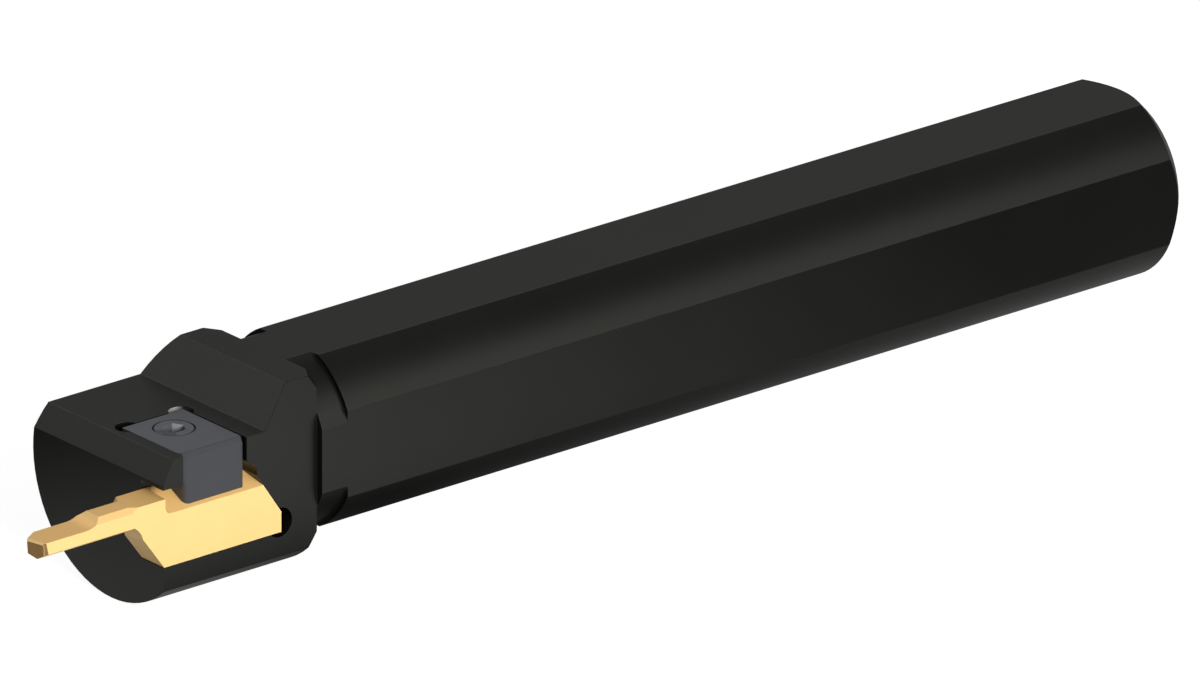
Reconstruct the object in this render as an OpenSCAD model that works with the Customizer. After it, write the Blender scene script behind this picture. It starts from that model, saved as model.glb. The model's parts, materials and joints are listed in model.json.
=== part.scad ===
// Boring bar with a side-mounted grooving insert under a screwed top clamp.
// The axis of the bar is X, with the rear face at x = 0 and the cutting end towards -X.
// The insert lies against the side that faces -Y, and the clamp is put in from above.

/* [Shank] */
// Diameter of the round shank
shank_d = 32; // [30:0.5:35]
// Depth of each of the four flats below the round
flat_depth = 1.7; // [1:0.1:2.2]
// Length from the rear face to the front face of the head
bar_len = 204; // [120:1:300]
// Chamfer round the rear face
rear_chamfer = 2.5; // [0.5:0.1:3.5]

/* [Neck] */
// How far the neck is turned down below the shank, on the radius
neck_step = 0.75; // [0.2:0.05:1.5]
// Length of the neck between shank and head
neck_len = 5.05; // [2:0.05:12]

/* [Head] */
// Diameter of the head
head_d = 38.5; // [37.5:0.25:41]
// Length of the head
head_len = 30.25; // [28.5:0.25:40]
// Chamfer round the rear edge of the head
head_chamfer = 1.65; // [0.4:0.05:2.2]
// Distance from the axis to the milled side of the head
side_dist = 13; // [12.6:0.1:14]
// Height of the milled top of the head above the axis
top_h = 7.25; // [6.8:0.05:8.5]
// Distance from the front face to the foot of the sloping wall
wall_foot = 20.05; // [19:0.05:21]
// Slope of that wall above the horizontal
wall_angle = 60; // [50:1:75]
// Length of the bevel from the milled top to the front face
bevel_len = 1.95; // [0.8:0.05:2.8]
// Drop of that bevel
bevel_drop = 4.1; // [2:0.05:4.4]

/* [Insert] */
// Depth of the seat floor below the axis
seat_depth = 10.2; // [9.4:0.1:11]
// Thickness of the seated part of the insert
insert_t = 5.6; // [5.3:0.05:6.2]
// Length of the seated part along the seat floor
insert_len = 23.05; // [22.4:0.05:24]
// Distance of the seated part behind the front face
insert_setback = 0.15; // [0:0.05:0.4]
// Height of the upright rear face of the insert
rear_face_h = 3.4; // [2.9:0.05:4]
// Lean of the rear slope above that face, from the vertical
rear_lean = 33.8; // [31:0.2:36]
// Lean of the front slope under the blade, from the vertical
front_lean = 35.9; // [33:0.1:38]
// Height of the top of the insert above the axis
blade_top = 1.1; // [0.9:0.05:1.3]
// Depth of the underside of the blade below the axis, at its outer side
blade_under = 2.2; // [1.9:0.05:2.5]
// Drop of the ridge under the blade
keel_drop = 1.1; // [0.8:0.05:1.3]
// Distance of that ridge from the outer side of the blade
keel_in = 1.9; // [1.6:0.05:2.4]
// Rise of the underside from that ridge to the inner side
keel_rise = 0.95; // [0.4:0.05:1.1]
// Width of the blade, which is the width of the groove that it cuts
blade_w = 5; // [4.6:0.05:5.2]
// How far the cutting edge stands out in front of the head
overhang = 23.95; // [20:0.05:26]
// Height of the cutting edge above the axis
edge_h = -0.2; // [-0.4:0.05:0]
// Radius of the hollow that turns the chip behind the edge
chip_r = 4.35; // [3.8:0.05:5]
// Length of the flat rake face from the edge to that hollow
rake_len = 8.85; // [7.5:0.05:10]
// Width of each bevel along the top of the blade
blade_bevel_w = 0.95; // [0.7:0.05:1.1]
// Drop of those bevels
blade_bevel_h = 0.85; // [0.6:0.05:1]
// Distance from the front face to the end of those bevels
bevel_end = 6.15; // [5.8:0.05:6.6]
// Set-back of the outer corner of the cutting edge from the inner one
edge_skew = 0.75; // [0.3:0.05:1]
// Clearance angle under the cutting edge
clearance = 8.5; // [6:0.5:11]
// Length of the corner cut on the inner side of the edge
corner_len = 2.35; // [1.6:0.05:2.8]
// Width of that corner cut
corner_w = 1.45; // [1:0.05:1.8]
// Width of the small bevel at the outer corner
outer_corner = 0.45; // [0.2:0.05:0.7]
// Width of the facet ground below that corner, along the edge
facet_w = 1.15; // [0.6:0.05:1.4]
// Set-back of that facet over its width
facet_back = 0.5; // [0.4:0.05:0.7]
// Height of the narrow land along the cutting edge
land_h = 0.38; // [0.2:0.02:0.5]

/* [Clamping floor] */
// Depth of the clamping floor below the axis, at the side of the head
floor_depth = 1.52; // [1.3:0.02:1.8]
// Rise of that floor towards the back of the insert
floor_angle = 26.1; // [24:0.1:27.5]
// Distance of the wall in front of that floor from the front face
notch_wall = 0.42; // [0.2:0.02:0.9]
// Skew of that wall across the insert
notch_skew = 6; // [0:0.5:15]
// Radius at the foot of that wall
notch_r = 1.2; // [0.5:0.05:1.4]

/* [Seat reliefs] */
// Radius of the relief behind the lower corner of the insert
low_relief_r = 2.4; // [1.9:0.05:2.6]
// Height of its centre above the seat floor
low_relief_h = 1.6; // [1.3:0.05:1.9]
// Distance of its centre in front of the rear end of the insert
low_relief_in = 0.3; // [0:0.05:0.6]
// Radius of the relief where the seat meets the clamp pocket
high_relief_r = 1.7; // [1.3:0.05:1.9]
// Height of its centre above the axis
high_relief_h = 0.87; // [0.5:0.05:1.2]
// Distance of its centre behind the clamp pocket
high_relief_back = 0.3; // [0.1:0.05:0.5]
// Radius of the two drilled corners of the clamp pocket
corner_hole_r = 2; // [1.4:0.05:2.1]
// Distance of their centres in front of the back wall of the pocket
corner_hole_in = 0.6; // [0.4:0.05:0.9]

/* [Clamp] */
// Thickness of the jaw between the front face and the clamp pocket
jaw_t = 3.95; // [3.5:0.05:4.3]
// Height of the underside of the jaw above the axis
jaw_h = 2.55; // [2.3:0.05:3]
// Length of the clamp along the bar
clamp_len = 12; // [11.6:0.05:12.4]
// Gap between the clamp and the jaw
front_gap = 0.15; // [0.1:0.05:0.4]
// Gap between the clamp and the wall behind it
rear_gap = 0.35; // [0.2:0.05:0.5]
// Width of the clamp across the bar
clamp_w = 14.55; // [14:0.05:15.2]
// How far the clamp sits inside the side of the head
clamp_inset = 0.65; // [0.3:0.05:0.9]
// Gap behind the clamp and under its heel
heel_gap = 0.3; // [0.2:0.05:0.4]
// Depth of the pocket floor under the heel, below the axis
pocket_depth = 2.6; // [2.2:0.05:3.2]
// Inset of the bevel along the outer top edge of the clamp
clamp_bevel_w = 0.45; // [0.2:0.05:0.8]
// Drop of that bevel
clamp_bevel_h = 0.95; // [0.6:0.05:1.4]
// Radius of the upright corner next to the jaw
clamp_corner_r = 1.55; // [1.2:0.05:2.2]
// How far the front of the clamp is cut back below the jaw
front_relief = 0.6; // [0.2:0.05:0.8]

/* [Clamp screw] */
// Diameter of the threaded part
screw_d = 4; // [3.6:0.1:4.4]
// Length under the head
screw_len = 16; // [13:0.5:18]
// Diameter of the head
screw_head_d = 6.5; // [6:0.1:6.6]
// Height of the head
screw_head_h = 3.2; // [2.6:0.1:3.6]
// Chamfer round the top of the head
screw_head_chamfer = 0.2; // [0.1:0.05:0.5]
// How far the head lies below the top of the clamp
screw_sink = 0; // [0:0.05:0.4]
// Width of the six-sided socket across its flats
socket_af = 3.3; // [2.8:0.1:3.5]
// Depth of the socket
socket_depth = 1.9; // [1.4:0.1:2.1]
// Running clearance round the head in its counterbore, on the radius
head_gap = 0.1; // [0.05:0.01:0.15]
// Gap round the screw in the hole through the clamp
shank_gap = 0.25; // [0.15:0.05:0.35]
// Running clearance between the thread and the tapped hole, on the radius
thread_gap = 0.05; // [0.02:0.01:0.08]
// Distance of the screw from the side of the head
screw_in = 10.1; // [9.7:0.05:10.4]
// Distance of the screw behind the middle of the clamp
screw_back = 0.1; // [0:0.05:0.3]
// Length of the point turned at its end
screw_point = 0.6; // [0.3:0.1:0.9]
// Room left in the tapped hole under the screw
hole_room = 1; // [0.5:0.1:1.5]

/* [Retaining ring] */
// Thickness of the ring that lifts the clamp with the screw
ring_t = 0.6; // [0.4:0.05:0.7]
// Width of the ring, on the radius
ring_w = 1.05; // [0.8:0.05:1.1]
// Depth of the groove that holds it, on the radius
ring_groove = 0.4; // [0.3:0.05:0.5]
// Play of the ring along the screw
ring_play = 0.1; // [0.05:0.05:0.15]
// Opening of the ring, in degrees
ring_open = 60; // [40:5:90]

/* [Hidden] */
$fn = 96;

steel_black = "#33332f";
insert_gold = "#e0b45c";
clamp_grey = "#63656d";
ring_steel = "#4a4b50";

// How far a cutting shape runs past what it cuts
over = 1;
// Size of a block that stands for all the space beyond a plane
beyond = 60;

shank_r = shank_d / 2;
flat_h = shank_r - flat_depth;
head_r = head_d / 2;
neck_end = bar_len - head_len;
shank_len = neck_end - neck_len;
neck_r = shank_r - neck_step;

// The land along the cutting edge leans forward by this angle on its way down
land_lean = 19;
// How much nearer the head the inner bevel of the blade ends than the outer one
inner_end = 0.4;
// Length in which the outer and the inner bevel run out into the seated part
outer_run = 1.3;
inner_run = 0.87;
// The shallow hollow where the ridge of the blade meets the front slope
hollow_r = 3.5;
hollow_deep = 0.28;
hollow_z = -3.35;
hollow_dip = 10;
hollow_skew = 8.2;

// Lengthwise places are counted from the front face of the head
front_x = -bar_len;
side_y = -side_dist;
insert_back_y = side_y + insert_t;
blade_back_y = side_y + blade_w;

seat_z = -seat_depth;
insert_rear = insert_setback + insert_len;
rear_top_z = seat_z + rear_face_h;
under_z = -blade_under;
keel_z = under_z - keel_drop;

pocket_front = jaw_t;
pocket_len = front_gap + clamp_len + rear_gap;
pocket_rear = pocket_front + pocket_len;
pocket_z = -pocket_depth;
clamp_out_y = side_y + clamp_inset;
clamp_back_y = clamp_out_y + clamp_w;
pocket_back_y = clamp_back_y + heel_gap;
heel_y = insert_back_y + heel_gap;
heel_z = pocket_z + heel_gap;

screw_x = pocket_front + front_gap + clamp_len / 2 + screw_back;
screw_y = side_y + screw_in;
screw_r = screw_d / 2;
screw_head_r = screw_head_d / 2;
screw_top_z = top_h - screw_sink;
screw_seat_z = screw_top_z - screw_head_h;
screw_end_z = screw_seat_z - screw_len;
hole_end_z = screw_end_z - hole_room;
ring_r = screw_r - ring_groove + ring_w;
ring_recess_r = ring_r + heel_gap;
ring_groove_z = heel_z + heel_gap;
ring_recess_z = ring_groove_z + ring_t + 2 * ring_play;

// The direction that the clamping floor faces
floor_n = [0, -sin(floor_angle), cos(floor_angle)];

// Distance behind the front face at which the rear slope reaches a height
function rear_slope_x(z) = insert_rear - (z - rear_top_z) * tan(rear_lean);

// Distance behind the front face at which the front slope reaches a height
function front_slope_x(z) = insert_setback - (z - seat_z) * tan(front_lean);

// Turns what is drawn along Z to lie along a direction
module point_along(direction) {
    flat = norm([direction.x, direction.y]);
    rotate([0, atan2(flat, direction.z), atan2(direction.y, direction.x)])
        children();
}

// Everything on the side of a plane that its normal points to
module beyond_plane(point, normal) {
    translate(point)
        point_along(normal)
            translate([-beyond / 2, -beyond / 2, 0])
                cube(beyond);
}

// A profile drawn in X and Z, and carried across the bar from y0 to y1
module across(y0, y1) {
    translate([0, y1, 0])
        rotate([90, 0, 0])
            linear_extrude(height = y1 - y0)
                children();
}

// A round hole that runs across the bar from y0 to y1
module hole_across(x, z, r, y0, y1) {
    translate([x, y0, z])
        rotate([-90, 0, 0])
            cylinder(h = y1 - y0, r = r);
}

// The blank as it leaves the lathe
module turned_blank() {
    rotate([0, -90, 0])
        rotate_extrude()
            polygon([
                [0, 0],
                [shank_r - rear_chamfer, 0],
                [shank_r, rear_chamfer],
                [shank_r, shank_len],
                [neck_r, shank_len],
                [neck_r, neck_end],
                [head_r - head_chamfer, neck_end],
                [head_r, neck_end + head_chamfer],
                [head_r, bar_len],
                [0, bar_len]
            ]);
}

// The four flats of the shank run on over the neck up to the head
module shank_flats() {
    for (turn = [0 : 90 : 270])
        rotate([turn, 0, 0])
            translate([-neck_end, -head_r, flat_h])
                cube([neck_end + over, head_d, head_r]);
}

// The top of the head: a flat level with the shank, a sloping wall,
// a lower flat and a bevel down to the front face
module head_top_cut() {
    wall_run = (flat_h - top_h) / tan(wall_angle);
    bevel_slope = bevel_drop / bevel_len;
    across(-head_d, head_d)
        polygon([
            [-over, top_h - bevel_drop - over * bevel_slope],
            [bevel_len, top_h],
            [wall_foot, top_h],
            [wall_foot + wall_run, flat_h],
            [head_len + over, flat_h],
            [head_len + over, head_d],
            [-over, head_d]
        ]);
}

// The side of the head is milled flat up to the rear face of the head
module head_side_cut() {
    translate([-neck_end, side_y - head_d, -head_d])
        mirror([1, 0, 0])
            cube([head_len + over, head_d, 2 * head_d]);
}

// The slot that holds the insert, cut in from the side of the head
module insert_seat() {
    wall_z = rear_top_z + (insert_rear - pocket_rear) / tan(rear_lean);
    across(side_y - over, insert_back_y)
        polygon([
            [-over, seat_z],
            [insert_rear, seat_z],
            [insert_rear, rear_top_z],
            [pocket_rear, wall_z],
            [pocket_front, wall_z],
            [pocket_front, jaw_h],
            [-over, jaw_h]
        ]);
    hole_across(
        insert_rear - low_relief_in, seat_z + low_relief_h, low_relief_r,
        side_y - over, insert_back_y
    );
    hole_across(
        pocket_rear + high_relief_back, high_relief_h, high_relief_r,
        side_y - over, insert_back_y
    );
}

// The pocket for the clamp, open at the top and at the side
module clamp_pocket() {
    translate([pocket_front, side_y - over, pocket_z])
        cube([pocket_len, pocket_back_y - side_y + over, head_d]);
    for (x = [pocket_front + corner_hole_r / 2, pocket_rear - corner_hole_r / 2])
        translate([x, pocket_back_y - corner_hole_in, pocket_z])
            cylinder(h = head_d, r = corner_hole_r);
}

// The tapped hole for the clamp screw, with a drilled end
module tapped_hole() {
    hole_r = screw_r + thread_gap;
    translate([screw_x, screw_y, hole_end_z]) {
        cylinder(h = pocket_z - hole_end_z + over, r = hole_r);
        translate([0, 0, -hole_r * tan(30)])
            cylinder(h = hole_r * tan(30), r1 = 0, r2 = hole_r);
    }
}

module bar_body() {
    color(steel_black)
        difference() {
            turned_blank();
            shank_flats();
            head_side_cut();
            translate([front_x, 0, 0]) {
                head_top_cut();
                insert_seat();
                clamp_pocket();
                tapped_hole();
            }
        }
}

// The seated part of the insert, with the slopes at its two ends. The bevels of the
// blade run out on its front corners, and a shallow hollow follows the blade's ridge.
module insert_seated() {
    step = insert_t - blade_w + blade_bevel_w;
    outer = [-bevel_end, side_y + blade_bevel_w, blade_top];
    inner = [-bevel_end + inner_end, blade_back_y - blade_bevel_w, blade_top];
    hollow_x = front_slope_x(hollow_z) - (hollow_r - hollow_deep) * cos(front_lean);
    hollow_low = hollow_z - (hollow_r - hollow_deep) * sin(front_lean);
    difference() {
        across(side_y, insert_back_y)
            polygon([
                [insert_setback, seat_z],
                [insert_rear, seat_z],
                [insert_rear, rear_top_z],
                [rear_slope_x(blade_top), blade_top],
                [-bevel_end, blade_top],
                [front_slope_x(under_z), under_z]
            ]);
        beyond_plane(outer, cross([0, -blade_bevel_w, -blade_bevel_h], [outer_run, -blade_bevel_w, 0]));
        beyond_plane(inner, cross([inner_run, step, 0], [0, blade_bevel_w, -blade_bevel_h]));
        translate([hollow_x, side_y, hollow_low])
            rotate([-hollow_dip, 0, -hollow_skew])
                rotate([-90, 0, 0])
                    translate([0, 0, -over])
                        cylinder(h = insert_t + 3 * over, r = hollow_r);
    }
}

// The blade, drawn in Y and Z and carried along the bar
module insert_blade() {
    root = front_slope_x(keel_z) + over;
    translate([-overhang - over, 0, 0])
        rotate([90, 0, 90])
            linear_extrude(height = overhang + over + root)
                polygon([
                    [side_y, under_z],
                    [side_y + keel_in, keel_z],
                    [blade_back_y, keel_z + keel_rise],
                    [blade_back_y, blade_top - blade_bevel_h],
                    [blade_back_y - blade_bevel_w, blade_top],
                    [side_y + blade_bevel_w, blade_top],
                    [side_y, blade_top - blade_bevel_h]
                ]);
}

// The space above the flat rake face and the hollow behind it
module chip_space() {
    hollow_end = -overhang + rake_len;
    translate([-overhang - 2 * over, side_y - over, edge_h])
        cube([rake_len + 2 * over, insert_t + 2 * over, chip_r]);
    intersection() {
        hole_across(hollow_end, edge_h + chip_r, chip_r, side_y - over, blade_back_y + over);
        translate([hollow_end, side_y - 2 * over, edge_h])
            cube([chip_r, insert_t + 4 * over, chip_r]);
    }
}

// What is ground away round the cutting edge: the land, the clearance face under it,
// the corner cut on the inner side, and on the outer corner a small bevel
// with a wider facet below the land
module edge_grinding() {
    edge_w = blade_w - corner_w;
    land_out = land_h * tan(land_lean);
    inner_corner = [-overhang + land_out, blade_back_y - corner_w, edge_h];
    low_corner = [-overhang, blade_back_y - corner_w, edge_h - land_h];
    outer_low = low_corner + [edge_skew + outer_corner, -edge_w, 0];
    facet_low = low_corner + [edge_skew, -edge_w, 0] * (1 - facet_w / edge_w);
    along = [edge_skew, -edge_w, 0];
    down = [tan(clearance), 0, -1];
    beyond_plane(inner_corner, cross([-tan(land_lean), 0, -1], along));
    beyond_plane(low_corner, cross(down, along));
    beyond_plane(inner_corner, [-corner_w, corner_len, 0]);
    beyond_plane(outer_low, [-1, -1, -tan(clearance) * sqrt(2)]);
    intersection() {
        beyond_plane(facet_low, cross(down, [facet_back, -facet_w, 0]));
        beyond_plane(facet_low, [0, 0, -1]);
    }
}

// The space over the clamping floor, behind the wall in front of it,
// with a rounded foot where floor and wall meet
module clamping_space() {
    wall_n = [cos(notch_skew), -sin(notch_skew), 0];
    corner = [notch_wall, side_y, -floor_depth];
    both = floor_n * wall_n;
    centre = corner + (floor_n + wall_n) * notch_r / (1 + both);
    root_depth = notch_r * (sqrt(2 / (1 + both)) - sqrt((1 + both) / 2));
    middle_n = (floor_n + wall_n) / norm(floor_n + wall_n);
    root_n = cross(floor_n, wall_n) / norm(cross(floor_n, wall_n));
    intersection() {
        beyond_plane(corner, floor_n);
        beyond_plane(corner, wall_n);
        beyond_plane(corner + middle_n * root_depth, middle_n);
    }
    translate(centre)
        point_along(root_n)
            translate([0, 0, -2 * insert_t])
                cylinder(h = 4 * insert_t, r = notch_r);
}

module cutting_insert() {
    color(insert_gold)
        translate([front_x, 0, 0])
            difference() {
                union() {
                    insert_seated();
                    insert_blade();
                }
                chip_space();
                edge_grinding();
                clamping_space();
            }
}

// An upright corner of the clamp, rounded where its front meets its outer side
module rounded_corner(x, z0, z1, r) {
    translate([x, clamp_out_y, z0])
        difference() {
            translate([-over, -over, 0])
                cube([r + over, r + over, z1 - z0]);
            translate([r, r, -over])
                cylinder(h = z1 - z0 + 2 * over, r = r);
        }
}

// The clamp presses on the sloping floor of the insert, and its heel stands in the pocket
module top_clamp() {
    clamp_front = pocket_front + front_gap;
    heel_h = top_h - heel_z;
    foot_z = heel_z - over;
    color(clamp_grey)
        translate([front_x, 0, 0])
            difference() {
                translate([clamp_front, clamp_out_y, heel_z])
                    cube([clamp_len, clamp_w, heel_h]);
                intersection() {
                    translate([clamp_front - over, clamp_out_y - over, foot_z])
                        cube([clamp_len + 2 * over, heel_y - clamp_out_y + over, heel_h]);
                    beyond_plane([clamp_front, side_y, -floor_depth], -floor_n);
                }
                beyond_plane(
                    [clamp_front, clamp_out_y + clamp_bevel_w, top_h],
                    [0, -clamp_bevel_h, clamp_bevel_w]
                );
                rounded_corner(clamp_front, jaw_h, top_h + over, clamp_corner_r);
                translate([clamp_front - over, clamp_out_y - over, foot_z])
                    cube([front_relief + over, clamp_w + 2 * over, jaw_h - foot_z]);
                rounded_corner(
                    clamp_front + front_relief, foot_z, jaw_h, clamp_corner_r - front_relief
                );
                translate([screw_x, screw_y, 0]) {
                    translate([0, 0, foot_z])
                        cylinder(h = heel_h + 2 * over, r = screw_r + shank_gap);
                    translate([0, 0, screw_seat_z])
                        cylinder(h = screw_head_h + screw_sink + over, r = screw_head_r + head_gap);
                    translate([0, 0, foot_z])
                        cylinder(h = ring_recess_z - foot_z, r = ring_recess_r);
                }
            }
}

// The screw, turned as one profile, with a six-sided socket in its head
module clamp_screw() {
    groove_r = screw_r - ring_groove;
    groove_top = ring_groove_z + ring_t + ring_play;
    point_r = screw_r - screw_point;
    color(clamp_grey)
        translate([front_x + screw_x, screw_y, 0])
            difference() {
                rotate_extrude()
                    polygon([
                        [0, screw_end_z],
                        [point_r, screw_end_z],
                        [screw_r, screw_end_z + screw_point],
                        [screw_r, ring_groove_z],
                        [groove_r, ring_groove_z],
                        [groove_r, groove_top],
                        [screw_r, groove_top],
                        [screw_r, screw_seat_z],
                        [screw_head_r, screw_seat_z],
                        [screw_head_r, screw_top_z - screw_head_chamfer],
                        [screw_head_r - screw_head_chamfer, screw_top_z],
                        [0, screw_top_z]
                    ]);
                translate([0, 0, screw_top_z - socket_depth])
                    cylinder(h = socket_depth + over, r = socket_af / sqrt(3), $fn = 6);
            }
}

// The open spring ring in the groove of the screw, below the clamp
module retaining_ring() {
    inner_r = screw_r - ring_groove + thread_gap;
    color(ring_steel)
        translate([front_x + screw_x, screw_y, ring_groove_z])
            difference() {
                cylinder(h = ring_t, r = ring_r);
                translate([0, 0, -over])
                    cylinder(h = ring_t + 2 * over, r = inner_r);
                translate([0, 0, -over])
                    linear_extrude(height = ring_t + 2 * over)
                        polygon([
                            [0, 0],
                            2 * ring_r * [cos(ring_open / 2), -sin(ring_open / 2)],
                            2 * ring_r * [cos(ring_open / 2), sin(ring_open / 2)]
                        ]);
            }
}

bar_body();
cutting_insert();
top_clamp();
clamp_screw();
retaining_ring();
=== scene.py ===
# %% [markdown]
# # A boring bar with a grooving insert
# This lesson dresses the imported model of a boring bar: a round steel holder with four
# flats, and at its cutting end a gold-coated carbide insert that a small screwed clamp
# holds down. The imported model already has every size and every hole, so the lesson is
# about what makes it look made: broken edges, a real thread, and metals with the marks
# of the machines that cut them. Everything is in metres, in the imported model's own frame:
# X runs along the bar, the cutting end points to -X, and the insert faces -Y.

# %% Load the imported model
import bpy
import json
import math
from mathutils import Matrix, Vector

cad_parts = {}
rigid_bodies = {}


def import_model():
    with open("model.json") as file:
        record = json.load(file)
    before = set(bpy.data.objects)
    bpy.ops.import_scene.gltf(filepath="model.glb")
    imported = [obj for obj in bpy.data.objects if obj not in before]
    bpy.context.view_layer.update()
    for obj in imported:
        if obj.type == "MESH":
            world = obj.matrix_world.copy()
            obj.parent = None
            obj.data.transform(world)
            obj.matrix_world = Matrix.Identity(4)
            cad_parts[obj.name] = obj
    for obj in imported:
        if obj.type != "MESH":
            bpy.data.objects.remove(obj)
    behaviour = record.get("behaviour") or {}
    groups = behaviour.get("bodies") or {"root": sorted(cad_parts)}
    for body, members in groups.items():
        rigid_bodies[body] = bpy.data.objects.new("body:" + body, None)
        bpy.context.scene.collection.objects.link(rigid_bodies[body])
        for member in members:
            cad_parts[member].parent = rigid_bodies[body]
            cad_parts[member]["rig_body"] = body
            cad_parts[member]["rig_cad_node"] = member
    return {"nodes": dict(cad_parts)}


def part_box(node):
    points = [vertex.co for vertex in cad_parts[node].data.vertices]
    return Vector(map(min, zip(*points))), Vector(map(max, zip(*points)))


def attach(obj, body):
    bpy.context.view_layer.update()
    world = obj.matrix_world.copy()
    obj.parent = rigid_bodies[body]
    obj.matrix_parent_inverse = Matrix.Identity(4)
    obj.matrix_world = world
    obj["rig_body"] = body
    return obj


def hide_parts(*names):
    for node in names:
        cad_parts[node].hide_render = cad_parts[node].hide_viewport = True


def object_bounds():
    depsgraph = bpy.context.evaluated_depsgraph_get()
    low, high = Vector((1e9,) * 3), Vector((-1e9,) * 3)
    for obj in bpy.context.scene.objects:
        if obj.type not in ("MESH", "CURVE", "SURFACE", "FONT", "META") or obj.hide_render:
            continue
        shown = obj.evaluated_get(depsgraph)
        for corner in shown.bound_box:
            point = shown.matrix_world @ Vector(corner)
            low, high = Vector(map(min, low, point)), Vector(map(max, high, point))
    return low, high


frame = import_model()
cad_low, cad_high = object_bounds()
MM = 0.001
print("size in mm:", [round((b - a) / MM, 1) for a, b in zip(cad_low, cad_high)])

# %% [markdown]
# ## The camera
# The bar is seen from its cutting end, from the insert's side and a little from above.
# The lines of the bar stay parallel in such a product picture. An orthographic camera
# would do that too, but the size of its view is fixed, so a view from another side would
# cut the bar's ends off. A very long lens from far away gives nearly the same look.

# %% Camera far away with a long lens
CAMERA_PLACE = (-2.854, -3.349, 1.737)
LOOK_AT = Vector((-0.1, 0.0082, -0.0051))

camera_data = bpy.data.cameras.new("camera")
camera_data.lens = 900
camera_data.sensor_width = 36
camera_data.clip_start = 0.1
camera_data.clip_end = 50
camera = bpy.data.objects.new("camera", camera_data)
bpy.context.scene.collection.objects.link(camera)
camera.location = CAMERA_PLACE
camera.rotation_euler = (LOOK_AT - camera.location).to_track_quat("-Z", "Y").to_euler()
bpy.context.scene.camera = camera
print("camera distance in m:", round((LOOK_AT - camera.location).length, 2))

# %% [markdown]
# ## Colours and nodes
# A colour in a picture is sRGB, and a shader wants linear light, so one function turns
# the hex values of this lesson into linear colours. A second small function adds a node,
# sets it and links it, which keeps each material readable as a list of its layers. A third
# one turns a value between two places into a level between two levels.

# %% Functions for colours and nodes
def linear(hex_colour):
    """Turns an sRGB hex value into a linear colour with an opacity of 1."""
    channels = [int(hex_colour[i : i + 2], 16) / 255 for i in (1, 3, 5)]
    bright = [((c + 0.055) / 1.055) ** 2.4 for c in channels]
    return [c / 12.92 if c <= 0.04045 else b for c, b in zip(channels, bright)] + [1]


def add_node(tree, kind, inputs=None, **settings):
    """Adds a node. An input's value is a number, a colour or another node's output."""
    node = tree.nodes.new(kind)
    for name, value in settings.items():
        setattr(node, name, value)
    for key, value in (inputs or {}).items():
        if isinstance(value, bpy.types.NodeSocket):
            tree.links.new(value, node.inputs[key])
        else:
            node.inputs[key].default_value = value
    return node


def ramp(tree, value, reach, levels=(0, 1), **settings):
    """A value between two places is turned into a level between two levels."""
    ends = {
        "Value": value,
        "From Min": reach[0],
        "From Max": reach[1],
        "To Min": levels[0],
        "To Max": levels[1],
    }
    return add_node(tree, "ShaderNodeMapRange", ends, **settings).outputs["Result"]


def new_tree(name):
    """A new material with an empty node tree."""
    material = bpy.data.materials.new(name)
    material.use_nodes = True
    material.node_tree.nodes.clear()
    return material, material.node_tree


print("a middle grey in linear light:", [round(c, 4) for c in linear("#808080")[:3]])

# %% [markdown]
# ## The white floor
# A product picture has no visible room. The floor and the world are plain white to the
# camera, with only a faint shadow. Metal has no colour of its own in the dark: it shows
# what stands around it. So a photographer lays a white card beside the cutting end, on the
# insert's side, and leaves the rest of the room dim, and the steel then goes from grey to
# black along the bar. Glossy rays see that card as a soft pale strip of the floor. Behind
# the bar the floor is dim near the head and a little brighter towards the rear, and a
# second, small card under the insert keeps the front face from going black.

# %% Floor and world
FLOOR_SIZE = 6
FLOOR_GAP = 0.05 * MM
FLOOR_TO_CAMERA = 0.9
FLOOR_COLOUR = "#949494"
FLOOR_COLOUR_TO_DIFFUSE = "#b4b4b4"
CARD_EDGE_Y = (-45 * MM, -12 * MM)
CARD_LEVELS = (0.98, 0.1)
CARD_REACH_X = (-150 * MM, -10 * MM)
BEHIND_LEVELS = (0.04, 0.35)
BEHIND_REACH_X = (-150 * MM, 0)
FRONT_CARD = (-215 * MM, 10 * MM, 0)
FRONT_CARD_REACH = (15 * MM, 60 * MM)
FRONT_CARD_LEVEL = 0.5
ROOM_LEVEL = 0.2

bpy.ops.object.select_all(action="DESELECT")
bpy.ops.mesh.primitive_plane_add(size=FLOOR_SIZE, location=(0, 0, cad_low.z - FLOOR_GAP))
floor = bpy.context.object
floor.name = "floor"

floor_white, tree = new_tree("white_floor")
rays = add_node(tree, "ShaderNodeLightPath")
place = add_node(tree, "ShaderNodeTexCoord")
axes = add_node(tree, "ShaderNodeSeparateXYZ", {0: place.outputs["Object"]})
off_card = ramp(tree, axes.outputs["Y"], CARD_EDGE_Y, interpolation_type="SMOOTHSTEP")
floor_level = add_node(
    tree,
    "ShaderNodeMix",
    {
        "Factor": off_card,
        "A": ramp(tree, axes.outputs["X"], CARD_REACH_X, CARD_LEVELS),
        "B": ramp(tree, axes.outputs["X"], BEHIND_REACH_X, BEHIND_LEVELS),
    },
)
from_front_card = add_node(
    tree,
    "ShaderNodeVectorMath",
    {0: place.outputs["Object"], 1: FRONT_CARD},
    operation="DISTANCE",
)
front_level = ramp(
    tree, from_front_card.outputs["Value"], FRONT_CARD_REACH, (FRONT_CARD_LEVEL, 0)
)
card_level = add_node(
    tree,
    "ShaderNodeMath",
    {0: floor_level.outputs["Result"], 1: front_level},
    operation="MAXIMUM",
)
bounce = add_node(
    tree,
    "ShaderNodeMix",
    {
        "Factor": rays.outputs["Is Diffuse Ray"],
        "A": linear(FLOOR_COLOUR),
        "B": linear(FLOOR_COLOUR_TO_DIFFUSE),
    },
    data_type="RGBA",
)
lit = add_node(tree, "ShaderNodeBsdfDiffuse", {"Color": bounce.outputs["Result"]})
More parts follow.
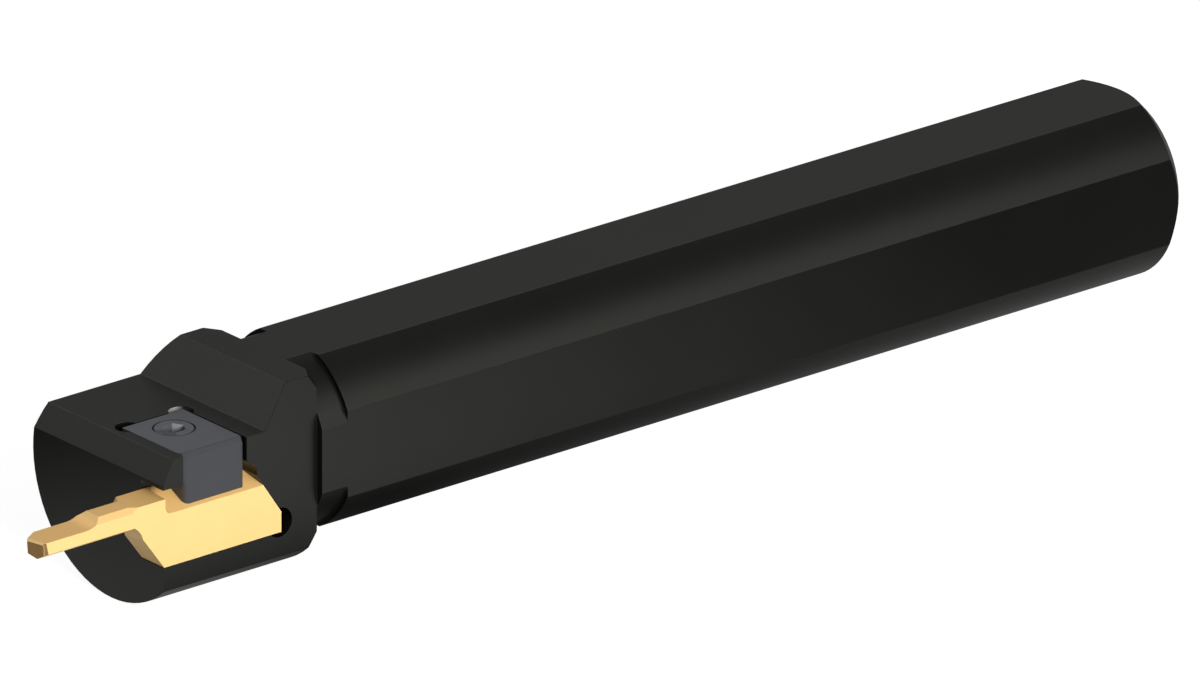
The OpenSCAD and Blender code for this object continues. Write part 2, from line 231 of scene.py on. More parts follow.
shown = ramp(tree, rays.outputs["Is Camera Ray"], (0, 1), (0, FLOOR_TO_CAMERA))
glow = add_node(tree, "ShaderNodeEmission", {"Strength": shown})
to_camera = add_node(tree, "ShaderNodeAddShader", {0: lit.outputs[0], 1: glow.outputs[0]})
to_metal = add_node(tree, "ShaderNodeEmission", {"Strength": card_level.outputs[0]})
either = add_node(
    tree,
    "ShaderNodeMixShader",
    {0: rays.outputs["Is Glossy Ray"], 1: to_camera.outputs[0], 2: to_metal.outputs[0]},
)
add_node(tree, "ShaderNodeOutputMaterial", {"Surface": either.outputs[0]})
floor.data.materials.append(floor_white)

world = bpy.data.worlds.new("studio")
bpy.context.scene.world = world
world.use_nodes = True
world.node_tree.nodes.clear()
rays = add_node(world.node_tree, "ShaderNodeLightPath")
level = add_node(
    world.node_tree,
    "ShaderNodeMix",
    {"Factor": rays.outputs["Is Camera Ray"], "A": ROOM_LEVEL, "B": 1.0},
)
room = add_node(world.node_tree, "ShaderNodeBackground", {"Strength": level.outputs["Result"]})
add_node(world.node_tree, "ShaderNodeOutputWorld", {"Surface": room.outputs[0]})
bpy.context.scene.view_settings.view_transform = "Standard"
print("floor at z in mm:", round(floor.location.z / MM, 2))

# %% [markdown]
# ## The lamps
# A softbox is set by how bright its cloth looks, its radiance: at 1 it shows as plain
# white in a mirror. A large one stands beyond the rear end on the insert's side and one
# behind the cutting end: they are what the bar's round corners and the sloping wall
# mirror. One behind the middle of the bar lights that wall, because the milled top in
# front of it mirrors it and would be black at its foot, and a dim one stands far behind
# the rear end. A smaller and stronger one next to the camera lights the coated insert,
# which scatters light as well as mirroring it, with its side brightest and its front
# darkest. A polariser on that lamp and another on the lens take its mirror image off the
# metals, so it isn't mirrored here either.

# %% Five soft lamps
BAR_MIDDLE = (-0.12, 0, 0)
INSERT_PLACE = (-0.2, -0.013, 0)


def softbox(name, place, size, radiance, target=BAR_MIDDLE, mirrored=True):
    """A round lamp that looks at its target. Sizes are in metres."""
    data = bpy.data.lights.new(name, "AREA")
    data.shape = "DISK"
    data.size = size
    data.energy = radiance * math.pi * (math.pi * size**2 / 4)
    lamp = bpy.data.objects.new(name, data)
    bpy.context.scene.collection.objects.link(lamp)
    lamp.location = place
    lamp.visible_glossy = mirrored
    ray = Vector(target) - Vector(place)
    lamp.rotation_euler = ray.to_track_quat("-Z", "Y").to_euler()


softbox("side_box", (0.3, -1.1, 0.55), 1.2, 1.15)
softbox("left_box", (-0.95, 0.8, 0.5), 0.7, 1.15)
softbox("back_box", (-0.1, 1.0, 1.0), 0.8, 1.4)
softbox("key_box", (-0.46, -1.21, 0.42), 0.5, 28, INSERT_PLACE, mirrored=False)
softbox("rear_box", (0.9, 0.9, 1.1), 0.8, 0.6)

# %% [markdown]
# ## Whole faces and broken edges
# The imported model comes as loose triangles with edges of no width. No edge of a real tool
# is like that: after milling it is broken with a stone or by tumbling, to about a tenth
# of a millimetre, and that narrow slope is what catches the light. Each machined piece is
# therefore a copy of its node: its triangles are merged into whole faces, the edges are
# selected by the angle between their faces, and they are bevelled. The imported sizes stay
# as they are, and the bevel's own faces take the second material, rubbed by handling; on
# the insert that material is a paler gold, a painted highlight.

# %% Helpers for machined pieces
MERGE = 0.001 * MM
NEAR = 0.05 * MM
SAME_PLANE = math.radians(0.3)
SMOOTH_UP_TO = math.radians(35)


def only(obj):
    """Makes obj the one selected and active object."""
    bpy.ops.object.select_all(action="DESELECT")
    obj.select_set(True)
    bpy.context.view_layer.objects.active = obj


def apply_modifier(obj, kind, **settings):
    """Adds a modifier to the piece and applies it at once."""
    only(obj)
    modifier = obj.modifiers.new(kind.lower(), kind)
    for name, value in settings.items():
        setattr(modifier, name, value)
    bpy.ops.object.modifier_apply(modifier=modifier.name)


def whole_copy(node, name, finishes):
    """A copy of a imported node, with its triangles merged into whole faces."""
    only(frame["nodes"][node])
    bpy.ops.object.duplicate()
    piece = bpy.context.object
    piece.name = piece.data.name = name
    piece.parent = None
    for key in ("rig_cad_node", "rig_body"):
        del piece[key]
    piece.data.materials.clear()
    for finish in finishes:
        piece.data.materials.append(finish)
    bpy.ops.object.mode_set(mode="EDIT")
    bpy.ops.mesh.select_all(action="SELECT")
    bpy.ops.mesh.customdata_custom_splitnormals_clear()
    bpy.ops.mesh.remove_doubles(threshold=MERGE)
    bpy.ops.mesh.dissolve_limited(angle_limit=SAME_PLANE)
    bpy.ops.object.mode_set(mode="OBJECT")
    return piece


def break_edges(piece, width, over_degrees=20, segments=2, leave=lambda middle: False):
    """Bevels the edges sharper than an angle, apart from those whose middle is left out."""
    only(piece)
    bpy.ops.object.mode_set(mode="EDIT")
    bpy.ops.mesh.select_mode(type="EDGE")
    bpy.ops.mesh.select_all(action="DESELECT")
    bpy.ops.mesh.edges_select_sharp(sharpness=math.radians(over_degrees))
    bpy.ops.object.mode_set(mode="OBJECT")
    # Back to points only now: in that mode every edge between two chosen points counts.
    bpy.context.tool_settings.mesh_select_mode = (True, False, False)
    mesh = piece.data
    weight = mesh.attributes.new("bevel_weight_edge", "FLOAT", "EDGE")
    for edge in mesh.edges:
        one, other = (mesh.vertices[v].co for v in edge.vertices)
        weight.data[edge.index].value = float(edge.select and not leave((one + other) / 2))
    apply_modifier(
        piece,
        "BEVEL",
        width=width,
        segments=segments,
        limit_method="WEIGHT",
        use_clamp_overlap=False,
        material=1,
    )


def merge_short_edges(piece, distance):
    """Merges points that lie closer together than a distance."""
    only(piece)
    bpy.ops.object.mode_set(mode="EDIT")
    bpy.ops.mesh.select_all(action="SELECT")
    bpy.ops.mesh.remove_doubles(threshold=distance)
    bpy.ops.object.mode_set(mode="OBJECT")
    points = piece.data.vertices
    pairs = (edge.vertices for edge in piece.data.edges)
    shortest = min((points[a].co - points[b].co).length for a, b in pairs)
    print(piece.name, "shortest edge in mm:", round(shortest / MM, 3))


def smooth(piece):
    """Smooths the shading across blunt edges and keeps the sharp ones."""
    only(piece)
    bpy.ops.object.shade_smooth_by_angle(angle=SMOOTH_UP_TO)
    apply_modifier(piece, "WEIGHTED_NORMAL", keep_sharp=True)
    print(piece.name, "has", len(piece.data.polygons), "faces")


def ride(piece, body, node):
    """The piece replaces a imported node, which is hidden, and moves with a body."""
    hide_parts(node)
    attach(piece, body)


# %% [markdown]
# ## Black oxide on turned and milled steel
# Black oxide is steel whose outermost micron is turned to magnetite in a hot salt bath. It
# adds no thickness, so every tool mark stays, and to the eye it is still a metal: almost
# black where it mirrors nothing, grey where it mirrors a card. A lathe leaves rings about
# 0.15 mm apart round the bar, and a grinder leaves fine lines along its flats. Both are
# finer than a pixel here, so they are drawn four times as coarse, and faint. The tone of
# the layer wanders over a centimetre or so. Which marks a face gets follows its normal.
# Handling polishes the broken edges first, in smaller and more uneven patches.
#
# A drill leaves rings about 0.1 mm apart down its hole, drawn here at 0.3 mm. The wall's
# colour is a painted highlight: bright where the wall faces away from the cutting end, and
# fading into black where it faces the cutting end, so the tone follows the way the wall faces.

# %% The holder's three finishes
MICRON = 1e-6
RING_MM = 0.6
LINE_MM = 0.5
DRILL_RING_MM = 0.3
LINE_STRETCH = (0.02, 1.0, 1.0)
FLAT_WHERE = (0.998, 0.9999)
NOISE_REACH = (0.3, 0.7)
HIGHLIGHT_WHERE = (-0.75, -0.2)


def per_mm(size):
    """Cells in a metre, for a pattern whose cells are this many millimetres wide."""
    return 1 / (size * MM)


def end_metal(tree, tones, tone, marks, mark_um, roughness, metallic=1.0):
    """Ends a tree: a metal between two tones, with fine marks some micrometres deep."""
    colour = add_node(
        tree,
        "ShaderNodeMix",
        {"Factor": tone, "A": linear(tones[0]), "B": linear(tones[1])},
        data_type="RGBA",
    )
    rough = ramp(tree, tone, (0, 1), roughness)
    depth = mark_um * MICRON
    bump = add_node(tree, "ShaderNodeBump", {"Height": marks, "Strength": 1.0, "Distance": depth})
    metal = add_node(
        tree,
        "ShaderNodeBsdfPrincipled",
        {
            "Base Color": colour.outputs["Result"],
            "Roughness": rough,
            "Metallic": metallic,
            "Normal": bump.outputs["Normal"],
        },
    )
    add_node(tree, "ShaderNodeOutputMaterial", {"Surface": metal.outputs[0]})


def rings_along(tree, distance, size_mm):
    """Rings or steps along a distance, as a fine noise in one dimension."""
    settings = {"W": distance, "Scale": per_mm(size_mm), "Detail": 1.0}
    return add_node(tree, "ShaderNodeTexNoise", settings, noise_dimensions="1D").outputs[0]


def noise(tree, place, size_mm, detail=2.0):
    """Noise whose grains are about this wide."""
    settings = {"Vector": place, "Scale": per_mm(size_mm), "Detail": detail}
    return add_node(tree, "ShaderNodeTexNoise", settings).outputs[0]


def stretched(tree, coords, scale):
    """The object's coordinates, drawn out along an axis where its scale is small."""
    settings = {"Vector": coords.outputs["Object"], "Scale": scale}
    return add_node(tree, "ShaderNodeMapping", settings).outputs[0]


def tool_marks(tree, coords):
    """Rings along X where the surface is round, and long fine lines where it is flat."""
    along = add_node(tree, "ShaderNodeSeparateXYZ", {0: coords.outputs["Object"]})
    rings = rings_along(tree, along.outputs["X"], RING_MM)
    lines = noise(tree, stretched(tree, coords, LINE_STRETCH), LINE_MM)
    size = add_node(
        tree, "ShaderNodeVectorMath", {0: coords.outputs["Normal"]}, operation="ABSOLUTE"
    )
    side = add_node(tree, "ShaderNodeSeparateXYZ", {0: size.outputs[0]})
    largest = add_node(
        tree,
        "ShaderNodeMath",
        {0: side.outputs["Y"], 1: side.outputs["Z"]},
        operation="MAXIMUM",
    )
    is_flat = ramp(tree, largest.outputs[0], FLAT_WHERE)
    marks = add_node(tree, "ShaderNodeMix", {"Factor": is_flat, "A": rings, "B": lines})
    return marks.outputs["Result"]


def wandering(tree, coords, size_mm):
    """A soft noise from 0 to 1 whose patches are about this wide."""
    return ramp(tree, noise(tree, coords.outputs["Object"], size_mm, detail=3.0), NOISE_REACH)


def wandering_metal(name, tones, patch_mm, marks, **surface):
    """A metal whose tone wanders in patches, with marks that a function draws."""
    material, tree = new_tree(name)
    coords = add_node(tree, "ShaderNodeTexCoord")
    tone = wandering(tree, coords, patch_mm)
    end_metal(tree, tones, tone, marks(tree, coords), **surface)
    return material


black_oxide = wandering_metal(
    "black_oxide_steel",
    ("#393937", "#3c3c39"),
    patch_mm=14,
    marks=tool_marks,
    mark_um=2,
    roughness=(0.39, 0.41),
    metallic=0.93,
)
rubbed_oxide = wandering_metal(
    "rubbed_black_oxide",
    ("#363634", "#3e3e3b"),
    patch_mm=3,
    marks=tool_marks,
    mark_um=1.5,
    roughness=(0.38, 0.34),
    metallic=0.9,
)

# Painted highlight for the drilled wall: bright or black by the way the wall faces.
drilled_wall_highlight, tree = new_tree("drilled_wall_painted_highlight")
coords = add_node(tree, "ShaderNodeTexCoord")
depth = add_node(tree, "ShaderNodeSeparateXYZ", {0: coords.outputs["Object"]})
faces = add_node(tree, "ShaderNodeSeparateXYZ", {0: coords.outputs["Normal"]})
end_metal(
    tree,
    ("#2c2c2a", "#c0c0bb"),
    ramp(tree, faces.outputs["X"], HIGHLIGHT_WHERE),
    rings_along(tree, depth.outputs["Z"], DRILL_RING_MM),
    mark_um=4,
    roughness=(0.4, 0.32),
    metallic=0.4,
)
print("holder finishes:", [m.name for m in (black_oxide, rubbed_oxide, drilled_wall_highlight)])

# %% [markdown]
# ## Gold coating on ground carbide
# The gold of an insert is titanium nitride, three microns deposited from vapour. It is
# hard and yellow, and because the ground carbide under it is matt on a small scale, it
# scatters much of the light: an insert is gold from every side, not only where it mirrors
# a lamp. So the surface is part metal and part diffuse. The grinding lines run along the
# insert. Real ones are about 0.02 mm apart, and these are drawn at 0.25 mm to show at all.
#
# The upper faces are painted a deeper, darker gold, painted shade for the dimmer light
# that they get. The honed edges and the narrow land along the cutting edge are painted a
# paler gold, a painted highlight. The flank under the cutting edge and the corner facets
# beside it face the cutting end and are painted browner and darker, as painted shade.

# %% The insert's three finishes
CARBIDE_LINE_MM = 0.25
CARBIDE_STRETCH = (0.03, 1.0, 1.0)
UPPER_WHERE = (0.7, 0.95)
UPPER_SHADE = 0.8
WANDERING_SHARE = 0.2


def carbide_lines(tree, coords):
    """Fine lines along the insert."""
    return noise(tree, stretched(tree, coords, CARBIDE_STRETCH), CARBIDE_LINE_MM)


gold_coating, tree = new_tree("titanium_nitride_coating")
coords = add_node(tree, "ShaderNodeTexCoord")
faces = add_node(tree, "ShaderNodeSeparateXYZ", {0: coords.outputs["Normal"]})
# Painted shade: faces that look up are mixed towards the deeper, darker gold.
upper_painted_shade = ramp(tree, faces.outputs["Z"], UPPER_WHERE, (0, UPPER_SHADE))
gold_tone = add_node(
    tree,
    "ShaderNodeMath",
    {0: wandering(tree, coords, 6), 1: WANDERING_SHARE, 2: upper_painted_shade},
    operation="MULTIPLY_ADD",
)
end_metal(
    tree,
    ("#fdd48a", "#f6c479"),
    gold_tone.outputs[0],
    carbide_lines(tree, coords),
    mark_um=2,
    roughness=(0.38, 0.44),
    metallic=0.15,
)
# Painted highlight: the honed edges and the land get a paler gold.
edge_painted_highlight = wandering_metal(
    "titanium_nitride_edge_painted_highlight",
    ("#fdd68e", "#ffe0a0"),
    patch_mm=2,
    marks=carbide_lines,
    mark_um=1,
    roughness=(0.3, 0.36),
    metallic=0.2,
)
# Painted shade: the flank and its corner facets get a browner, darker gold.
flank_painted_shade = wandering_metal(
    "titanium_nitride_flank_painted_shade",
    ("#977542", "#9f7c4a"),
    patch_mm=1.5,
    marks=carbide_lines,
    mark_um=2,
    roughness=(0.36, 0.42),
    metallic=0.2,
)
print("insert finishes:", [m.name for m in (gold_coating, edge_painted_highlight, flank_painted_shade)])

# %% [markdown]
# ## Tumbled grey steel
# The clamp and its screw are hardened and then tumbled in a drum with stones. That takes
# the burrs off and leaves a fine grain without direction, which scatters light, so the
# clamp looks evenly grey. The grain is about 0.05 mm and is drawn at 0.3 mm. The top of the
# clamp is ground flat afterwards, and its colour is painted lighter, as painted light that
# makes up for the dimmer light that it gets; it still comes out a little darker than the
# side. Its sloping edge strip is a shade darker.
# The screw is turned, so its marks are rings round its own axis. Its socket is punched, and
# one wall of the socket is painted bright, a painted highlight.

# %% Finishes of the clamp, the screw and the ring
GRAIN_MM = 0.3
FINE_GRAIN_MM = 0.25
TURNED_RING_MM = 0.3
NO_HEIGHT = (1, 1, 0)

screw_low, screw_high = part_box("clamp_screw")
AXIS = ((screw_low.x + screw_high.x) / 2, (screw_low.y + screw_high.y) / 2)


def tumbled(tree, coords):
    """The grain of tumbling."""
    return noise(tree, coords.outputs["Object"], GRAIN_MM)


def punched(tree, coords):
    """The finer grain of a pressed or punched face."""
    return noise(tree, coords.outputs["Object"], FINE_GRAIN_MM)


def turned(tree, coords):
    """Rings round the screw's axis: by radius on a top, by height on a side."""
    centred = add_node(
        tree,
        "ShaderNodeMapping",
        {"Vector": coords.outputs["Object"], "Location": (-AXIS[0], -AXIS[1], 0)},
    )
    parts = add_node(tree, "ShaderNodeSeparateXYZ", {0: centred.outputs[0]})
    flat = add_node(
        tree,
        "ShaderNodeVectorMath",
        {0: centred.outputs[0], 1: NO_HEIGHT},
        operation="MULTIPLY",
    )
    radius = add_node(tree, "ShaderNodeVectorMath", {0: flat.outputs[0]}, operation="LENGTH")
    reach = add_node(
        tree,
        "ShaderNodeMath",
        {0: radius.outputs["Value"], 1: parts.outputs["Z"]},
        operation="ADD",
    )
    return rings_along(tree, reach.outputs[0], TURNED_RING_MM)


grey_steel = wandering_metal(
    "tumbled_grey_steel",
    ("#4b4d51", "#505256"),
    patch_mm=5,
    marks=tumbled,
    mark_um=3,
    roughness=(0.46, 0.52),
    metallic=0.55,
)
worn_grey_steel = wandering_metal(
    "rubbed_grey_steel",
    ("#4a4c50", "#54565a"),
    patch_mm=2,
    marks=tumbled,
    mark_um=2,
    roughness=(0.46, 0.42),
    metallic=0.6,
)
# Painted light: the clamp's level top is painted lighter than its sides.
clamp_top_painted_light = wandering_metal(
    "clamp_top_painted_light",
    ("#6a6c72", "#717379"),
    patch_mm=5,
    marks=tumbled,
    mark_um=2,
    roughness=(0.46, 0.52),
    metallic=0.6,
)
edge_strip_grey_steel = wandering_metal(
    "edge_strip_grey_steel",
    ("#484a4e", "#4d4f53"),
    patch_mm=5,
    marks=tumbled,
    mark_um=2,
    roughness=(0.5, 0.55),
    metallic=0.55,
)
screw_steel = wandering_metal(
    "turned_grey_steel",
    ("#5c5e63", "#64666b"),
    patch_mm=3,
    marks=turned,
    mark_um=2,
    roughness=(0.42, 0.48),
    metallic=0.7,
)
punched_steel = wandering_metal(
    "punched_steel",
    ("#5e6065", "#696b70"),
    patch_mm=1,
    marks=punched,
    mark_um=3,
    roughness=(0.38, 0.44),
    metallic=0.3,
)
# Painted highlight for one wall of the screw's socket.
socket_wall_painted_highlight = wandering_metal(
    "socket_wall_painted_highlight",
    ("#aeb0b5", "#babcc0"),
    patch_mm=1,
    marks=punched,
    mark_um=3,
    roughness=(0.34, 0.4),
    metallic=0.3,
)
spring_steel = wandering_metal(
    "stamped_spring_steel",
    ("#6c6d70", "#7f8084"),
    patch_mm=1.5,
    marks=punched,
    mark_um=3,
    roughness=(0.3, 0.36),
)
print("finishes made:", len(bpy.data.materials) - 1)

# %% [markdown]
# ## The holder
# The holder is turned from one bar of alloy steel. Then its flats, the sloping wall, the
# insert's seat and the clamp's pocket are milled, and it is hardened and blackened. All
# of that is in the imported node already, so a copy only needs its broken edges. The wall
# of the rear drilled corner of the clamp's pocket gets a painted highlight. The faces of
# its wall are found by their distance from the drill's axis and by their normal.

# %% Make the holder
HOLDER_EDGE = 0.1 * MM
CORNER_DRILL = (-188.55 * MM, 1.9 * MM)
DRILL_R = 2.0 * MM
UPRIGHT_WALL = 0.1

holder = whole_copy("bar_body", "holder_body", [black_oxide, rubbed_oxide, drilled_wall_highlight])
break_edges(holder, HOLDER_EDGE)
drilled_faces = 0
# The drilled wall takes the third finish, a painted highlight.
for face in holder.data.polygons:
    off_axis = math.dist(face.center.xy, CORNER_DRILL)
    if abs(face.normal.z) < UPRIGHT_WALL and abs(off_axis - DRILL_R) < NEAR:
        face.material_index = 2
        drilled_faces += 1
print("faces of drilled wall:", drilled_faces)
smooth(holder)
ride(holder, "bar", "bar_body")

# %% [markdown]
# ## The insert
# The insert is pressed and sintered carbide. Its seat, its ends and its cutting edges are
# ground, and a thin gold coating follows. Grinding leaves crisp corners, so its edges are
# broken much less than those of the holder. Where two ground faces run out into each
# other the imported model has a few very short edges. They would hold back the bevel of the
# whole piece, so points closer together than a hair are merged first. The flank with its
# corner facets and the narrow land along the cutting edge are found by their normals: the
# flank is nearly upright, and the land leans.

# %% Make the insert
INSERT_EDGE = 0.04 * MM
HAIR = 0.06 * MM
EDGE_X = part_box("cutting_insert")[0].x
TIP_LENGTH = 1.5 * MM
TOWARDS_TIP = -0.5
UPRIGHT = math.sin(math.radians(12))
INSERT_SHARP = 14

insert = whole_copy(
    "cutting_insert", "grooving_insert", [gold_coating, edge_painted_highlight, flank_painted_shade]
)
merge_short_edges(insert, HAIR)
# The land takes the painted highlight, the upright flank the painted shade.
for face in insert.data.polygons:
    if face.normal.x < TOWARDS_TIP and face.center.x < EDGE_X + TIP_LENGTH:
        upright = abs(face.normal.z) < UPRIGHT
        face.material_index = 2 if upright else 1
break_edges(insert, INSERT_EDGE, over_degrees=INSERT_SHARP)
smooth(insert)
ride(insert, "bar", "cutting_insert")

# %% [markdown]
# ## The clamp
# The clamp is a small block of hardened steel. Its heel stands in the holder's pocket, its
# foot presses on the sloping floor of the insert, and the screw's head sinks into its top.
# Such blocks are tumbled with stones after milling, so its edges are rounder for its size
# than those of the holder, and its bevels get three steps. Below the holder's jaw the
# clamp's front steps back. That step thins out to nothing round the corner, where a bevel
# has no room, so the edges at its height are left as they are.

# %% Make the clamp
CLAMP_EDGE = 0.08 * MM
CLAMP_HAIR = 0.08 * MM
STEP_Z = 2.55 * MM
LEVEL = 0.99
SLOPING = 0.3

clamp = whole_copy(
    "top_clamp",
    "clamp_block",
    [grey_steel, worn_grey_steel, clamp_top_painted_light, edge_strip_grey_steel],
)
merge_short_edges(clamp, CLAMP_HAIR)
for face in clamp.data.polygons:
    # The level top gets the painted light, the sloping strip the darker tone.
    if face.normal.z > SLOPING and face.center.z > STEP_Z:
        face.material_index = 2 if face.normal.z > LEVEL else 3
break_edges(
    clamp, CLAMP_EDGE, segments=3, leave=lambda middle: abs(middle.z - STEP_Z) < NEAR
)
smooth(clamp)
ride(clamp, "clamp", "top_clamp")

# %% [markdown]
# ## The clamp screw
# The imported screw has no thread, because a thread costs many faces and moves nothing. Here
# it is made as in the workshop. A disc is drawn out step by step into the turned blank,
# with a groove for the spring ring and a relief where the thread ends. A helical cutter
# then cuts the thread, and a six-sided punch opens the socket. The screw is made round the
# origin's Z axis, where turning is easy, and moved home at the end.

# %% Turn the screw's blank
HEAD_R = (screw_high.x - screw_low.x) / 2
TOP_Z = screw_high.z
END_Z = screw_low.z
SHANK_R = 2.0 * MM
THREAD_ROOT_R = 1.57 * MM
RING_GROOVE = (-2.0 * MM, -1.3 * MM)
RING_GROOVE_R = 1.6 * MM
RELIEF = (-3.1 * MM, -2.45 * MM)
RELIEF_R = 1.5 * MM
RELIEF_CONE = 0.15 * MM
END_CHAMFER = 0.6 * MM
HEAD_SEAT_Z = TOP_Z - 3.2 * MM
HEAD_FILLET = 0.2 * MM
HEAD_CHAMFER = 0.2 * MM
BLANK_SIDES = 72


def draw_out(profile):
    """Extrudes the selected face through a list of (radius, height)."""
    radius, height = profile[0]
    for next_radius, next_height in profile[1:]:
        bpy.ops.mesh.extrude_region_move(
            TRANSFORM_OT_translate={"value": (0, 0, next_height - height)}
        )
        scale = next_radius / radius
        bpy.ops.transform.resize(
            value=(scale, scale, 1), center_override=(0, 0, next_height)
        )
        radius, height = next_radius, next_height


def outward(piece):
    """Turns all normals to the outside."""
    only(piece)
    bpy.ops.object.mode_set(mode="EDIT")
    bpy.ops.mesh.select_all(action="SELECT")
    bpy.ops.mesh.normals_make_consistent(inside=False)
    bpy.ops.object.mode_set(mode="OBJECT")


SCREW_PROFILE = [
    (SHANK_R - END_CHAMFER, END_Z),
    (SHANK_R, END_Z + END_CHAMFER),
    (SHANK_R, RELIEF[0]),
    (RELIEF_R, RELIEF[0] + RELIEF_CONE),
    (RELIEF_R, RELIEF[1] - RELIEF_CONE),
    (SHANK_R, RELIEF[1]),
    (SHANK_R, RING_GROOVE[0]),
    (RING_GROOVE_R, RING_GROOVE[0]),
    (RING_GROOVE_R, RING_GROOVE[1]),
    (SHANK_R, RING_GROOVE[1]),
    (SHANK_R, HEAD_SEAT_Z - HEAD_FILLET),
    (SHANK_R + HEAD_FILLET, HEAD_SEAT_Z),
    (HEAD_R, HEAD_SEAT_Z),
    (HEAD_R, TOP_Z - HEAD_CHAMFER),
    (HEAD_R - HEAD_CHAMFER, TOP_Z),
]
bpy.ops.object.select_all(action="DESELECT")
bpy.ops.mesh.primitive_circle_add(
    vertices=BLANK_SIDES,
    radius=SCREW_PROFILE[0][0],
    fill_type="NGON",
    location=(0, 0, END_Z),
)
screw = bpy.context.object
screw.name = screw.data.name = "socket_screw"
for finish in (screw_steel, punched_steel, socket_wall_painted_highlight):
    screw.data.materials.append(finish)
bpy.ops.object.transform_apply(location=True)
bpy.ops.object.mode_set(mode="EDIT")
bpy.ops.mesh.select_all(action="SELECT")
draw_out(SCREW_PROFILE)
bpy.ops.object.mode_set(mode="OBJECT")
outward(screw)
print("screw blank:", len(screw.data.polygons), "faces")

# %% [markdown]
# The thread is the common coarse one for this diameter, with a pitch of 0.7 mm. The cutter
# is a small upright plane, wider at its outer side, and the Screw modifier carries it round
# and up. It is a little narrower than the pitch, so a narrow crest stays between the turns.
# It starts below the screw's end and stops inside the relief, so it never ends in steel.

# %% Cut the thread
PITCH = 0.7 * MM
CUTTER_R = (THREAD_ROOT_R, SHANK_R + 0.04 * MM)
SAME_RADIUS = 0.001 * MM
STEPS_A_TURN = 44
ROOT_WIDTH = 0.12 * MM
MOUTH_WIDTH = 0.65 * MM
CUT_FROM = END_Z - PITCH
CUT_TO = (RELIEF[0] + RELIEF[1]) / 2
TURNS = int((CUT_TO - CUT_FROM) / PITCH)
CUTTER_Z = CUT_TO - TURNS * PITCH

bpy.ops.object.select_all(action="DESELECT")
bpy.ops.mesh.primitive_plane_add(
    size=1,
    location=(sum(CUTTER_R) / 2, 0, CUTTER_Z),
    rotation=(math.pi / 2, 0, 0),
)
cutter = bpy.context.object
cutter.scale = (CUTTER_R[1] - CUTTER_R[0], MOUTH_WIDTH, 1)
bpy.ops.object.transform_apply(location=True, rotation=True, scale=True)
for vertex in cutter.data.vertices:
    vertex.select = abs(vertex.co.x - CUTTER_R[0]) < SAME_RADIUS
for edge in cutter.data.edges:
    edge.select = all(cutter.data.vertices[v].select for v in edge.vertices)
for face in cutter.data.polygons:
    face.select = False
bpy.ops.object.mode_set(mode="EDIT")
bpy.ops.transform.resize(
    value=(1, 1, ROOT_WIDTH / MOUTH_WIDTH), center_override=(CUTTER_R[0], 0, CUTTER_Z)
)
bpy.ops.mesh.select_all(action="SELECT")
bpy.ops.mesh.delete(type="ONLY_FACE")
bpy.ops.object.mode_set(mode="OBJECT")
apply_modifier(
    cutter,
    "SCREW",
    axis="Z",
    angle=math.tau,
    screw_offset=PITCH,
    iterations=TURNS,
    steps=STEPS_A_TURN,
    render_steps=STEPS_A_TURN,
    use_merge_vertices=True,
    merge_threshold=MERGE,
)
bpy.ops.object.mode_set(mode="EDIT")
bpy.ops.mesh.select_all(action="SELECT")
bpy.ops.mesh.fill_holes(sides=0)
bpy.ops.object.mode_set(mode="OBJECT")
outward(cutter)


def cut_away(piece, tool):
    """Cuts one piece out of another and deletes it."""
    apply_modifier(piece, "BOOLEAN", operation="DIFFERENCE", solver="EXACT", object=tool)
    bpy.data.objects.remove(tool)


cut_away(screw, cutter)
print("turns of thread:", TURNS, "faces:", len(screw.data.polygons))

# %% [markdown]
# The socket is punched: a six-sided prism whose floor ends in a shallow cone, as left by
# the drill that goes before the punch. One of its walls, the one that faces the cutting end
# on the insert's side, is painted bright as a painted highlight, and that wall is told from
# the others by its normal. The cuts leave many-sided faces. The export would split one of
# them, at the relief, along an edge that is there already, so they are split here in a better
# way.

# %% Punch the socket and send the screw home
SOCKET_AF = 3.3 * MM
SOCKET_DEPTH = 1.9 * MM
SOCKET_R = SOCKET_AF / math.sqrt(3)
PAST = 1 * MM
FLOOR_RIM = 0.35 * MM
CONE_DEPTH = 0.25 * MM
CONE_TIP = 0.1
DOWNWARD = -0.9
HIGHLIT_X = -0.5
HIGHLIT_Y = -0.3
SCREW_HAIR = 0.004 * MM

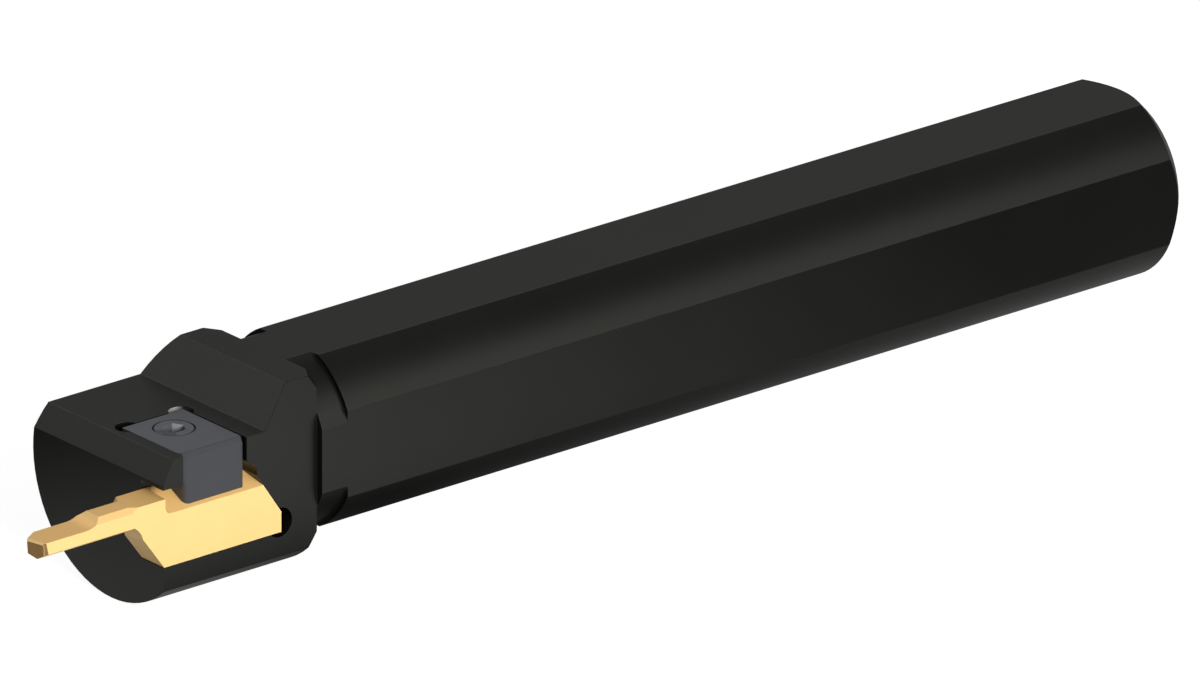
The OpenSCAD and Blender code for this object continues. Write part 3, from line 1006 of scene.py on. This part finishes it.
bpy.ops.object.select_all(action="DESELECT")
bpy.ops.mesh.primitive_cylinder_add(
    vertices=6,
    radius=SOCKET_R,
    depth=SOCKET_DEPTH + PAST,
    location=(0, 0, TOP_Z + (PAST - SOCKET_DEPTH) / 2),
    rotation=(0, 0, math.radians(30)),
)
punch = bpy.context.object
bpy.ops.object.transform_apply(location=True, rotation=True)
for vertex in punch.data.vertices:
    vertex.select = False
for edge in punch.data.edges:
    edge.select = False
for face in punch.data.polygons:
    face.select = face.normal.z < DOWNWARD
bpy.ops.object.mode_set(mode="EDIT")
bpy.ops.mesh.inset(thickness=FLOOR_RIM, depth=0)
bpy.ops.mesh.extrude_region_move(TRANSFORM_OT_translate={"value": (0, 0, -CONE_DEPTH)})
bpy.ops.transform.resize(
    value=(CONE_TIP, CONE_TIP, 1), center_override=(0, 0, TOP_Z - SOCKET_DEPTH - CONE_DEPTH)
)
bpy.ops.object.mode_set(mode="OBJECT")
outward(punch)
cut_away(screw, punch)

for face in screw.data.polygons:
    in_socket = face.center.xy.length < SOCKET_R and face.center.z > TOP_Z - SOCKET_DEPTH
    # Painted highlight on the socket wall that faces the cutting end on the insert's side.
    highlit_wall = face.normal.x < HIGHLIT_X and face.normal.y < HIGHLIT_Y
    if in_socket:
        face.material_index = 2 if highlit_wall else 1
    else:
        face.material_index = 0
only(screw)
screw.location = (AXIS[0], AXIS[1], 0)
bpy.ops.object.transform_apply(location=True)
merge_short_edges(screw, SCREW_HAIR)
apply_modifier(screw, "TRIANGULATE", ngon_method="BEAUTY", min_vertices=5)
smooth(screw)
ride(screw, "screw", "clamp_screw")

# %% [markdown]
# ## The spring ring
# Under the clamp an open spring ring sits in the screw's groove. It lifts the clamp when
# the screw is turned out. It is stamped from spring steel and tumbled: a copy of its node
# with rounded edges is all it needs.

# %% Make the spring ring
RING_EDGE = 0.07 * MM

ring = whole_copy("retaining_ring", "spring_ring", [spring_steel, spring_steel])
break_edges(ring, RING_EDGE)
smooth(ring)
ride(ring, "screw", "retaining_ring")
